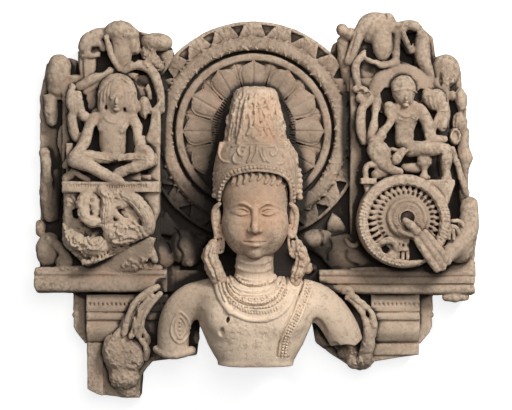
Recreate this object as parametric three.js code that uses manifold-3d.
// Fragment of a carved sandstone temple stele, made to be built into a wall.
// A crowned deity's bust stands in the round before a lotus halo, between two pillars that carry
// seated attendants, rearing beasts, a broken foliage mace head and a spoked wheel. It is one stone.
// Millimetres. +X right, +Y into the wall, +Z up. The origin is on the flat back, on the halo's axis.
import * as THREE from 'three';
import { mergeVertices } from 'three/addons/utils/BufferGeometryUtils.js';
import { ConvexGeometry } from 'three/addons/geometries/ConvexGeometry.js';
import Module from 'manifold-3d';

const wasm = await Module();
wasm.setup();

// ---- driving dimensions ----
const SLAB = 55; // depth of the plain stone behind the carving
const BED = 1; // how far a carved piece is let into the stone behind it
const CLOSE = 0.5; // corners nearer than this are one corner
const HALO = {
  edge: 253,
  notchOut: 240,
  notchIn: 222,
  garlandOut: 218,
  garlandIn: 185,
  rim: 178,
  petalTip: 160,
  petalRoot: 95,
};
const HALO_DEPTH = { ring: 84, garland: 100, groove: 66, rim: 94, petal: 93, bed: 80 };
const PETALS = 12;
const NOTCHES = 20;
const CORNICE = { left: -503, right: 508, top: -318, fillet: -334, bottom: -371, depth: 138 };
const NICHE = 104; // depth of the ground behind the seated figures
const PILLAR = 150; // depth of the pillars' front edges
const CONSOLE = 190; // depth of the consoles' fronts
const WHEEL = { x: 338, z: -208, edge: 108, bead: 88, spoke: 58, hub: 16, back: 168, front: 206 };
const WHEEL_SPOKES = 14;
const DEITY_X = 6; // the bust stands a little right of the halo's axis
const STONE = 0xa48c78;

// ---- stone-cutting helpers: depth is measured forward from the flat back ----
const at = ([x, z, depth]) => new THREE.Vector3(x, -depth, z);

function solidOf(geometry) {
  const bare = geometry.index ? geometry.toNonIndexed() : geometry.clone();
  bare.deleteAttribute('normal');
  bare.deleteAttribute('uv');
  const merged = mergeVertices(bare, 1e-3);
  const corners = merged.index.array;
  const kept = [];
  for (let i = 0; i < corners.length; i += 3) {
    const [a, b, c] = [corners[i], corners[i + 1], corners[i + 2]];
    if (a !== b && b !== c && c !== a) kept.push(a, b, c);
  }
  const vertProperties = new Float32Array(merged.attributes.position.array);
  const triVerts = new Uint32Array(kept);
  return new wasm.Manifold(new wasm.Mesh({ numProp: 3, vertProperties, triVerts, tolerance: CLOSE }));
}

// A tube through joints given as [x, z, depth, radius]. At a sharp bend it ends and a new one begins.
const SHARP = 65; // degrees
function tube(joints, sides) {
  const points = joints.map(at);
  const last = points.length - 1;
  const steps = points.slice(1).map((point, i) => point.clone().sub(points[i]).normalize());
  const frames = points.map((_, i) => {
    const along = steps[Math.max(i - 1, 0)].clone().add(steps[Math.min(i, last - 1)]).normalize();
    const reference = Math.abs(along.y) > 0.9 ? new THREE.Vector3(1, 0, 0) : new THREE.Vector3(0, 1, 0);
    const aside = along.clone().cross(reference).normalize();
    return { along, aside, outward: aside.clone().cross(along) };
  });
  const geometry = new THREE.CylinderGeometry(1, 1, last, sides, last);
  const places = geometry.attributes.position;
  for (let i = 0; i < places.count; i += 1) {
    const [x, y, z] = [places.getX(i), places.getY(i), places.getZ(i)];
    const ring = Math.round(last / 2 - y);
    const { along, aside, outward } = frames[ring];
    const radius = joints[ring][3];
    const isTip = Math.hypot(x, z) < 1e-6;
    const bulge = isTip ? (ring === 0 ? -0.5 : 0.5) * radius : 0;
    const place = points[ring].clone().addScaledVector(along, bulge);
    place.addScaledVector(aside, z * radius).addScaledVector(outward, x * radius);
    places.setXYZ(i, place.x, place.y, place.z);
  }
  return solidOf(geometry);
}

function limb(joints, sides = 4) {
  const tubes = [];
  let run = [joints[0], joints[1]];
  for (let i = 2; i < joints.length; i += 1) {
    const before = at(joints[i - 1]).sub(at(joints[i - 2]));
    const after = at(joints[i]).sub(at(joints[i - 1]));
    if (THREE.MathUtils.radToDeg(before.angleTo(after)) > SHARP) {
      tubes.push(tube(run, sides));
      run = [joints[i - 1]];
    }
    run.push(joints[i]);
  }
  return [...tubes, tube(run, sides)];
}

// A rounded mass: half sizes across, up and in depth, turned about the depth axis.
function ball(centre, [across, up, deep], turn = 0, segments = Math.max(across, up) > 30 ? 6 : 5) {
  const geometry = new THREE.SphereGeometry(1, segments, Math.round(segments * 0.65));
  geometry.rotateX(Math.PI / 2).scale(across, deep, up).rotateY(-THREE.MathUtils.degToRad(turn));
  const place = at(centre);
  return solidOf(geometry.translate(place.x, place.y, place.z));
}

// A flat plate: an outline seen from the front, from one depth to another.
function plate(outline, back, front) {
  const shape = new THREE.Shape(outline.map(([x, z]) => new THREE.Vector2(x, z)));
  const geometry = new THREE.ExtrudeGeometry(shape, { depth: front - back, bevelEnabled: false });
  return solidOf(geometry.translate(0, 0, back).rotateX(Math.PI / 2));
}

const box = (left, right, bottom, top, back, front) =>
  plate([[left, bottom], [right, bottom], [right, top], [left, top]], back, front);

// A rough block: the convex solid around its corners.
const block = (corners) => solidOf(new ConvexGeometry(corners.map(at)));

// A moulding of one section, (depth, height) pairs, that runs across the panel.
function moulding(section, left, right) {
  const shape = new THREE.Shape(section.map(([depth, z]) => new THREE.Vector2(-depth, z)));
  const geometry = new THREE.ExtrudeGeometry(shape, { depth: right - left, bevelEnabled: false });
  const turn = new THREE.Matrix4().makeBasis(
    new THREE.Vector3(0, 1, 0), new THREE.Vector3(0, 0, 1), new THREE.Vector3(1, 0, 0));
  return solidOf(geometry.applyMatrix4(turn).translate(left, 0, 0));
}

// A form turned about the depth axis: (radius, depth) pairs.
function turned(section, [x, z], segments) {
  const profile = section.map(([radius, depth]) => new THREE.Vector2(radius, depth));
  const geometry = new THREE.LatheGeometry(profile, segments);
  return solidOf(geometry.rotateX(Math.PI).translate(x, 0, z));
}

// A form turned about a vertical axis, (radius, height) pairs, flattened in depth.
function pillarForm(section, [x, depth], flatten, segments) {
  const profile = section.map(([radius, z]) => new THREE.Vector2(radius, z));
  const geometry = new THREE.LatheGeometry(profile, segments);
  geometry.rotateX(Math.PI / 2).rotateZ(Math.PI / segments);
  return solidOf(geometry.scale(1, flatten, 1).translate(x, -depth, 0));
}

// A ring of round section that hangs about a neck, tilted forward and stretched downwards.
function collar([x, z, depth], radius, tube, drop) {
  const geometry = new THREE.TorusGeometry(radius, tube, 3, 10);
  geometry.scale(1, drop, 1).rotateX(THREE.MathUtils.degToRad(52)).translate(x, -depth, z);
  return solidOf(geometry);
}

const joined = (solids) => wasm.Manifold.union(solids.flat(Infinity));

const polar = (radius, degrees) => {
  const angle = THREE.MathUtils.degToRad(degrees);
  return [radius * Math.sin(angle), radius * Math.cos(angle)];
};

// The outline of a ring of petals or spokes: [radius, part of a step] pairs, repeated all round.
function rosette(count, petal, [x, z] = [0, 0]) {
  const outline = [];
  for (let i = 0; i < count; i += 1) {
    for (const [radius, part] of petal) {
      const [px, pz] = polar(radius, ((i + part) * 360) / count);
      outline.push([x + px, z + pz]);
    }
  }
  return outline;
}

// ---- the plain stone behind everything ----
function backSlab() {
  const left = [[-492, -330], [-497, -60], [-486, 70], [-484, 130], [-450, 170], [-405, 160], [-392, 206],
    [-340, 236], [-270, 236], [-225, 224], [-190, 196], [-150, 60], [-150, -330]];
  const right = [[504, -330], [150, -330], [150, 60], [185, 205], [230, 232], [300, 262], [340, 250],
    [385, 250], [418, 220], [426, 160], [455, 168], [484, 140], [486, 60], [499, -60]];
  const middle = [[-170, -330], [-170, -60], [170, -60], [170, -330]];
  return [
    plate(left, 0, SLAB),
    plate(right, 0, SLAB),
    plate(middle, 0, SLAB),
    box(-440, -214, -318, 130, BED, NICHE),
    box(222, 450, -318, 120, BED, NICHE),
    box(-180, 180, -405, -320, BED, 90),
  ];
}

// ---- halo: notched ring, garland, groove, rim, twelve lotus petals and stamens ----
function halo() {
  const { edge, garlandOut, garlandIn, rim, petalTip, petalRoot } = HALO;
  const { ring, garland, groove, rim: rimDepth, bed } = HALO_DEPTH;
  const disc = turned([[0, 0], [edge, 0], [edge, ring], [garlandOut, ring], [garlandOut - 7, garland],
    [garlandIn + 8, garland - 2], [garlandIn, groove], [rim + 4, groove], [rim, rimDepth],
    [petalTip + 4, rimDepth], [petalTip, bed], [0, bed]], [0, 0], 32);
  const notches = [];
  for (let i = 0; i < NOTCHES; i += 1) {
    const step = 360 / NOTCHES;
    const middle = (i + 0.5) * step;
    notches.push(plate([polar(HALO.notchOut, middle - 3.4), polar(HALO.notchIn, middle),
      polar(HALO.notchOut, middle + 3.4)], ring - 18, ring + 5));
  }
  const petals = rosette(PETALS, [[petalTip, 0], [petalTip - 14, 0.24], [petalTip - 32, 0.42],
    [petalRoot, 0.5], [petalTip - 32, 0.58], [petalTip - 14, 0.76]]);
  return [
    disc.subtract(joined(notches)),
    plate(petals, bed - BED, HALO_DEPTH.petal),
  ];
}

// ---- cornice: a fillet over a half-round, broken at its ends ----
function cornice() {
  const { left, right, top, fillet, bottom, depth } = CORNICE;
  const axis = (fillet + bottom) / 2;
  const roundRadius = 16;
  const halfRound = [];
  for (let i = 0; i <= 5; i += 1) {
    const angle = (Math.PI * i) / 5;
    halfRound.push([depth - 14 + 14 * Math.sin(angle), axis - 2 - roundRadius * Math.cos(angle)]);
  }
  const section = [[0, bottom], ...halfRound, [depth - 22, fillet], [depth - 20, top], [0, top]];
  // the half-round turns the corner at each end
  const corner = (x) => limb([[x, axis, 20, roundRadius], [x, axis, depth - 14, roundRadius]], 8);
  // a broken stump of what once hung below
  const stump = (x, width, drop) => block([
    [x - width, bottom + 6, 20], [x + width, bottom + 6, 20],
    [x - width, bottom + 6, 118], [x + width, bottom + 6, 118],
    [x - 0.5 * width, bottom - drop, 28], [x + 0.6 * width, bottom - drop - 3, 32],
    [x - 0.7 * width, bottom - drop + 6, 106], [x + 0.8 * width, bottom - drop + 2, 102],
  ]);
  return [
    moulding(section, left + 10, -170),
    moulding(section, 160, right - 10),
    moulding([[0, bottom], [100, bottom], [100, top], [0, top]], -175, 165),
    corner(left + roundRadius),
    corner(right - roundRadius),
    stump(-452, 23, 13),
    stump(467, 29, 22),
  ];
}

// ---- pillar capitals under the cornice: stacked bands, [height, projection] pairs ----
const CAPITAL_BANDS = [
  [-371, 0], [-411, 0], [-412, 5], [-427, 5], [-428, -4],
  [-432, 2], [-452, 2], [-466, -5], [-476, -16], [-491, -24],
];

// A square block of bands whose mouldings turn its corners.
function bands(profile, left, right, depth) {
  const half = (right - left) / 2;
  const rings = profile.map(([z, out]) => [Math.SQRT2 * (half + out), z]);
  const axisEnds = [[0, profile[0][0]], ...rings, [0, profile[profile.length - 1][0]]];
  return pillarForm(axisEnds.reverse(), [(left + right) / 2, 0], depth / half, 4);
}

function capitals() {
  const leftShaft = [[-382, -488], [-382, -580], [-368, -597], [-267, -615], [-257, -606], [-253, -544],
    [-236, -528], [-236, -488]];
  const rightStump = [[232, -365], [140, -365], [136, -440], [146, -491], [176, -514], [226, -546],
    [272, -534], [371, -519], [371, -488], [250, -488]];
  return [
    bands(CAPITAL_BANDS, -409, -250, 80),
    bands(CAPITAL_BANDS, -382, -230, 110),
    bands(CAPITAL_BANDS, 250, 410, 80),
    bands(CAPITAL_BANDS, 230, 378, 110),
    plate(leftShaft, 0, 92),
    plate([[-240, -365], [-240, -535], [-132, -519], [-124, -440], [-124, -365]], 0, 60),
    plate(rightStump, 0, 66),
    box(258, 371, -519, -488, 0, 98),
    block([[176, -500, 40], [205, -480, 40], [226, -546, 20], [180, -512, 110], [232, -500, 108],
      [226, -544, 92], [250, -520, 60]]),
  ];
}

// ---- consoles that carry the seated figures ----
function foliageConsole() {
  const mass = block([[-430, -128, 50], [-218, -128, 50], [-430, -128, 184], [-222, -128, 184],
    [-424, -236, 184], [-420, -236, 50], [-232, -224, 180], [-226, -290, 60], [-388, -282, 176],
    [-392, -318, 60], [-236, -318, 60]]);
  const lobes = [
    limb([[-341, -141, 186, 9], [-372, -143, 188, 9], [-388, -183, 190, 9], [-373, -206, 192, 10],
      [-346, -206, 192, 10], [-328, -171, 190, 9], [-341, -141, 186, 9]]),
    ball([-295, -222, 180], [30, 26, 18], 20),
    limb([[-297, -152, 182, 7], [-262, -163, 184, 9], [-238, -192, 182, 10], [-232, -226, 176, 7]]),
    limb([[-318, -150, 184, 9], [-306, -180, 186, 8]]),
    ball([-425, -206, 176], [9, 16, 14]),
    ball([-412, -246, 178], [14, 14, 14]),
    limb([[-392, -262, 178, 9], [-364, -272, 182, 10], [-330, -258, 182, 8]]),
  ];
  return [mass, box(-432, -224, -131, -118, 40, CONSOLE), box(-228, -212, -318, -118, 40, 160), lobes];
}

function wheelConsole() {
  const { x, z, edge, bead, spoke, hub, back, front } = WHEEL;
  const disc = turned([[0, back], [edge, back], [edge, front - 6], [edge - 6, front], [bead + 2, front],
    [bead, front - 22], [spoke, front - 22], [spoke - 3, front - 2], [hub, front], [hub - 2, front - 12],
    [0, front - 12]], [x, z], 18);
  const spokeShape = [[bead + 3, -0.07], [bead + 3, 0.07], [spoke + 4, 0.3], [spoke + 4, 0.7]];
  const spokes = rosette(WHEEL_SPOKES, spokeShape, [x, z]);
  const bite = [[x - 66, z - 76], [x - 34, z - 58], [x - 26, z - 92], [x - 52, z - 112]];
  const missing = plate(bite, back - 16, front + 20);
  const base = block([[222, -126, 50], [448, -126, 50], [226, -126, 178], [448, -126, 182], [432, -166, 178],
    [424, -300, 150], [240, -300, 150], [230, -318, 50], [440, -318, 50]]);
  return [
    base,
    box(222, 452, -129, -114, 40, 186),
    joined([disc, plate(spokes, front - 26, front - 7)]).subtract(missing),
    hand(),
  ];
}

// The hand that holds the wheel: a finger through the hub, a sash and a ringed wrist.
function hand() {
  return [
    limb([[336, -206, 180, 11], [352, -222, 226, 10]]),
    limb([[352, -222, 224, 11], [376, -240, 216, 15], [402, -262, 214, 15]]),
    limb([[362, -236, 216, 8], [384, -270, 216, 9], [416, -306, 200, 10]]),
    limb([[378, -238, 218, 8], [412, -270, 216, 9], [432, -288, 206, 8]]),
    limb([[402, -262, 205, 17], [440, -240, 170, 19]], 7),
    limb([[440, -240, 170, 20], [462, -244, 110, 26]], 7),
  ];
}

// ---- seated attendants ----
function ascetic() {
  return [
    turned([[0, 60], [78, 60], [78, 112], [70, 120], [0, 120]], [-307, 82], 14),
    ball([-307, 92, 150], [27, 44, 28]),
    limb([[-307, 48, 158, 13], [-307, 28, 152, 13]]),
    limb([[-346, 19, 148, 16], [-268, 19, 148, 16]]),
    limb([[-307, 6, 146, 34], [-309, -46, 148, 29]], 8),
    ball([-309, -56, 160], [30, 16, 24]),
    // arms that rest on the knees
    limb([[-352, 16, 152, 15], [-364, -29, 164, 12], [-402, -70, 176, 11]]),
    limb([[-262, 16, 152, 15], [-250, -42, 166, 12], [-232, -60, 176, 11]]),
    // raised hands with their attributes
    limb([[-346, 8, 138, 15], [-396, -14, 140, 14], [-404, 30, 150, 11], [-412, 70, 146, 12],
      [-404, 90, 140, 8]]),
    limb([[-380, 34, 156, 9], [-404, 52, 154, 10]]),
    limb([[-252, 10, 132, 11], [-224, -20, 134, 13], [-230, 30, 142, 12], [-240, 66, 140, 14]]),
    // crossed legs
    limb([[-328, -66, 160, 20], [-398, -84, 180, 19], [-306, -108, 190, 12], [-296, -114, 186, 9]]),
    limb([[-288, -64, 160, 20], [-238, -74, 176, 17], [-336, -98, 172, 13]]),
    ball([-408, -108, 150], [16, 14, 16]),
    ball([-250, -110, 150], [26, 16, 18]),
    box(-232, -213, -120, 66, 60, PILLAR),
  ];
}

function danceLord() {
  return [
    turned([[0, 60], [84, 60], [84, 112], [76, 120], [0, 120]], [338, 72], 14),
    ball([339, 84, 150], [24, 38, 26]),
    limb([[339, 46, 156, 12], [339, 30, 152, 12]]),
    limb([[314, 30, 148, 13], [366, 30, 148, 13]]),
    limb([[338, 14, 146, 26], [337, -34, 150, 22]], 8),
    ball([337, -42, 158], [24, 14, 20]),
    limb([[312, 28, 152, 13], [284, 22, 158, 11], [272, -6, 158, 10], [286, -36, 160, 10]]),
    limb([[306, 24, 146, 11], [308, -6, 152, 10], [288, -36, 160, 9]]),
    limb([[252, 54, 132, 12], [242, 22, 136, 10], [246, -10, 140, 11], [262, -36, 148, 11]]),
    limb([[368, 28, 152, 13], [388, -14, 160, 11], [426, -24, 162, 11]]),
    limb([[374, 6, 144, 12], [404, 30, 140, 9], [420, 46, 136, 22]]),
    ball([424, 10, 132], [20, 26, 18]),
    // one leg folded, the other hanging
    limb([[318, -54, 158, 20], [270, -44, 172, 20], [304, -86, 182, 20], [324, -106, 178, 11]]),
    limb([[350, -52, 158, 19], [434, -46, 178, 19], [437, -84, 178, 17], [435, -110, 172, 10]]),
    ball([328, -74, 190], [13, 20, 12], -30),
    ball([394, -94, 160], [15, 26, 14]),
    ball([256, -104, 150], [20, 15, 18]),
    limb([[446, -40, 106, 10], [462, -140, 104, 9]]),
    box(214, 234, -120, 110, 60, PILLAR - 6),
  ];
}

// ---- broken flying figures above the pillars ----
function flyingFigures() {
  return [
    // left: trunk, bent legs and a companion
    ball([-302, 222, 118], [44, 26, 34], -6),
    limb([[-304, 212, 126, 32], [-310, 168, 128, 17]], 7),
    limb([[-334, 214, 128, 9], [-336, 178, 132, 8], [-316, 148, 134, 8]]),
    limb([[-262, 214, 116, 18], [-256, 180, 118, 12]]),
    limb([[-366, 212, 100, 20], [-386, 190, 104, 18], [-376, 152, 108, 14], [-392, 108, 110, 12]]),
    limb([[-392, 104, 118, 13], [-360, 122, 130, 12], [-322, 148, 132, 11]]),
    limb([[-300, 148, 130, 9], [-262, 160, 130, 10], [-232, 140, 128, 11], [-220, 96, 128, 11],
      [-219, 10, 128, 11]]),
    ball([-222, 206, 74], [35, 24, 30]),
    limb([[-236, 196, 84, 20], [-216, 152, 86, 18]]),
    // right
    ball([300, 240, 112], [38, 34, 34], 8),
    limb([[292, 224, 124, 32], [297, 180, 130, 26]], 7),
    limb([[262, 232, 100, 14], [246, 200, 106, 13], [230, 150, 112, 11], [234, 110, 116, 11]]),
    limb([[234, 128, 124, 10], [262, 160, 132, 9], [320, 146, 132, 9]]),
    limb([[322, 216, 126, 8], [330, 154, 132, 9]]),
    limb([[330, 224, 112, 13], [366, 176, 112, 12]]),
    limb([[338, 234, 100, 9], [376, 240, 100, 14], [400, 204, 106, 17], [402, 158, 110, 16],
      [424, 104, 112, 13]]),
    ball([198, 208, 72], [22, 28, 26]),
    ball([222, 198, 70], [15, 30, 24]),
  ];
}

// ---- rearing beasts and attendants on the pillars' set-back flanks ----
function flanks() {
  return [
    ball([-450, 128, 74], [32, 42, 34]),
    limb([[-452, 100, 76, 24], [-462, 74, 80, 18]]),
    limb([[-474, 64, 64, 15], [-478, 16, 64, 13], [-472, -28, 64, 12]]),
    limb([[-448, 60, 86, 10], [-436, 30, 88, 9], [-440, -24, 86, 10], [-456, -70, 80, 9]]),
    limb([[-480, -52, 78, 19], [-476, -104, 80, 14], [-470, -160, 80, 15]]),
    limb([[-470, -160, 70, 18], [-478, -216, 74, 22], [-474, -288, 74, 22]]),
    limb([[-446, -250, 90, 16], [-432, -290, 96, 20]]),
    ball([456, 136, 74], [32, 40, 34]),
    limb([[440, 120, 88, 12], [436, 84, 90, 12], [440, 60, 90, 10]]),
    limb([[476, 88, 66, 18], [480, 40, 66, 15], [484, -10, 66, 15]]),
    ball([462, -8, 98], [20, 17, 20]),
    limb([[486, -16, 66, 15], [484, -46, 70, 18], [488, -64, 70, 17], [480, -100, 70, 16],
      [486, -150, 70, 18]]),
    limb([[484, -158, 68, 22], [486, -206, 70, 26], [490, -232, 68, 24], [480, -290, 68, 22]]),
    ball([456, -262, 110], [26, 34, 30]),
  ];
}

// ---- sea beasts behind the shoulders, and the lotus stems under the cornice ----
function beastsAndStems() {
  return [
    ball([-182, -240, 88], [46, 44, 44], 20),
    ball([-128, -236, 78], [40, 30, 36], -10),
    limb([[-196, -200, 84, 14], [-176, -178, 84, 8]]),
    ball([252, -272, 82], [104, 46, 44], -8),
    ball([150, -248, 74], [38, 26, 30], 8),
    limb([[-146, -338, 128, 11], [-182, -364, 138, 13], [-204, -398, 140, 13], [-222, -432, 138, 13],
      [-232, -466, 136, 14]]),
    limb([[-186, -382, 130, 9], [-206, -420, 130, 9], [-212, -452, 126, 10], [-204, -492, 116, 11]]),
    ball([-284, -500, 104], [47, 56, 44], -14, 10),
    ball([-272, -560, 92], [42, 34, 28], 0, 8),
    ball([-228, -482, 116], [20, 24, 20], 20),
    limb([[196, -362, 120, 13], [222, -384, 128, 10], [240, -420, 128, 10], [232, -462, 116, 12],
      [240, -515, 100, 13]]),
    limb([[188, -376, 110, 10], [210, -410, 112, 10], [228, -448, 112, 11]]),
  ];
}

// ---- the bust ----
function bust() {
  const x = DEITY_X;
  const torso = pillarForm([[0, -528], [96, -528], [104, -480], [120, -432], [136, -392], [140, -358],
    [100, -322], [48, -304], [0, -302]], [x + 6, 176], 0.56, 10);
  // what is lost: the left arm ends in one break, and the trunk in another
  const loss = (left, right, top, slope) => block([
    [left, top, 90], [right, top - slope, 90], [left, top, 320], [right, top - slope, 320],
    [left, top - 60, 90], [right, top - 60, 90], [left, top - 60, 320], [right, top - 60, 320],
  ]);
  const breaks = [loss(-260, -90, -509, -2), loss(-90, 130, -518, 4)];
  const arms = [
    limb([[-96, -348, 172, 46], [-150, -368, 174, 52], [-170, -430, 172, 47], [-172, -520, 176, 43]], 8),
    limb([[110, -348, 172, 46], [150, -368, 176, 54], [178, -430, 178, 46]], 8),
    limb([[176, -424, 178, 48], [198, -466, 180, 40], [240, -476, 158, 24]], 8),
    limb([[-192, -446, 214, 6], [-176, -428, 216, 8], [-158, -446, 216, 7], [-156, -484, 214, 6]]),
  ];
  const cords = [
    collar([x + 2, -326, 200], 66, 9, 1.2),
    limb([[118, -330, 206, 7], [104, -372, 234, 7], [84, -430, 245, 7], [62, -516, 234, 7]]),
    limb([[-92, -300, 210, 14], [-86, -350, 226, 10], [-58, -398, 248, 8]]),
  ];
  return [joined([torso, arms]).subtract(joined(breaks)), cords, head()];
}

function head() {
  const x = DEITY_X;
  const crown = pillarForm([[0, -120], [80, -118], [88, -96], [86, -56], [76, -46], [74, -20], [65, 30],
    [56, 74], [44, 88], [0, 92]], [x + 2, 186], 1, 8);
  const face = [
    ball([x, -186, 200], [76, 92, 80], 0, 9),
    ball([x, -238, 214], [50, 44, 56], 0, 8),
    limb([[x, -158, 272, 6], [x, -206, 288, 11]]), // nose
    limb([[x - 20, -158, 264, 7], [x - 46, -164, 250, 6]], 5), // brows
    limb([[x + 20, -158, 264, 7], [x + 46, -164, 250, 6]], 5),
    ball([x - 32, -177, 256], [17, 8, 8]), // eyes
    ball([x + 32, -177, 256], [17, 8, 8]),
    ball([x, -230, 266], [22, 8, 10]), // mouth
  ];
  const band = [
    limb([[x - 66, -122, 236, 7], [x, -98, 268, 8]], 5),
    limb([[x + 66, -122, 236, 7], [x, -98, 268, 8]], 5),
    block([[x - 40, -94, 240], [x + 40, -94, 240], [x - 34, -50, 240], [x + 34, -50, 240], [x - 30, -92, 276],
      [x + 30, -92, 276], [x - 26, -52, 266], [x + 26, -52, 266], [x, -40, 256]]),
    block([[x - 26, -46, 230], [x + 26, -46, 230], [x - 22, -46, 264], [x + 22, -46, 264], [x, 66, 244],
      [x, 70, 220]]),
    block([[x - 92, -92, 180], [x - 92, -52, 180], [x - 62, -92, 236], [x - 62, -46, 230], [x - 76, -40, 190],
      [x - 60, -70, 190]]),
    block([[x + 94, -92, 180], [x + 94, -52, 180], [x + 66, -92, 236], [x + 66, -46, 230], [x + 78, -40, 190],
      [x + 60, -70, 190]]),
  ];
  const sides = [-1, 1].map((side) => [
    limb([[x + side * 76, -160, 196, 12], [x + side * 80, -196, 198, 12], [x + side * 76, -240, 204, 10]]),
    limb([[x + side * 94, -250, 196, 13], [x + side * 102, -292, 194, 19], [x + side * 92, -328, 190, 22]]),
  ]);
  const neckShape = [[0, -350], [56, -346], [46, -322], [41, -300], [42, -262], [0, -250]];
  const neck = pillarForm(neckShape, [x, 196], 0.95, 8);
  // the stone left behind the head, which ties the crown to the halo
  const tie = box(x - 46, x + 46, -196, 44, 70, 160);
  return [crown, face, band, sides, neck, tie];
}

// ---- the whole stone ----
function carvedGeometry() {
  const stone = joined([backSlab(), halo(), cornice(), capitals(), foliageConsole(), wheelConsole(), ascetic(),
    danceLord(), flyingFigures(), flanks(), beastsAndStems(), bust()]);
  const front = box(-700, 700, -700, 400, 0, 400); // trims whatever would stand behind the wall
  const { vertProperties, triVerts, numProp } = stone.intersect(front).getMesh();
  const positions = [];
  for (let i = 0; i < vertProperties.length; i += numProp) {
    positions.push(vertProperties[i], vertProperties[i + 1], vertProperties[i + 2]);
  }
  const geometry = new THREE.BufferGeometry();
  geometry.setAttribute('position', new THREE.Float32BufferAttribute(positions, 3));
  geometry.setIndex([...triVerts]);
  return geometry;
}

const reliefPanel = new THREE.Mesh(
  carvedGeometry(),
  new THREE.MeshStandardMaterial({ color: STONE, roughness: 0.88, metalness: 0 }),
);
reliefPanel.name = 'relief_panel';

const panel = new THREE.Group();
panel.add(reliefPanel);
export default panel;
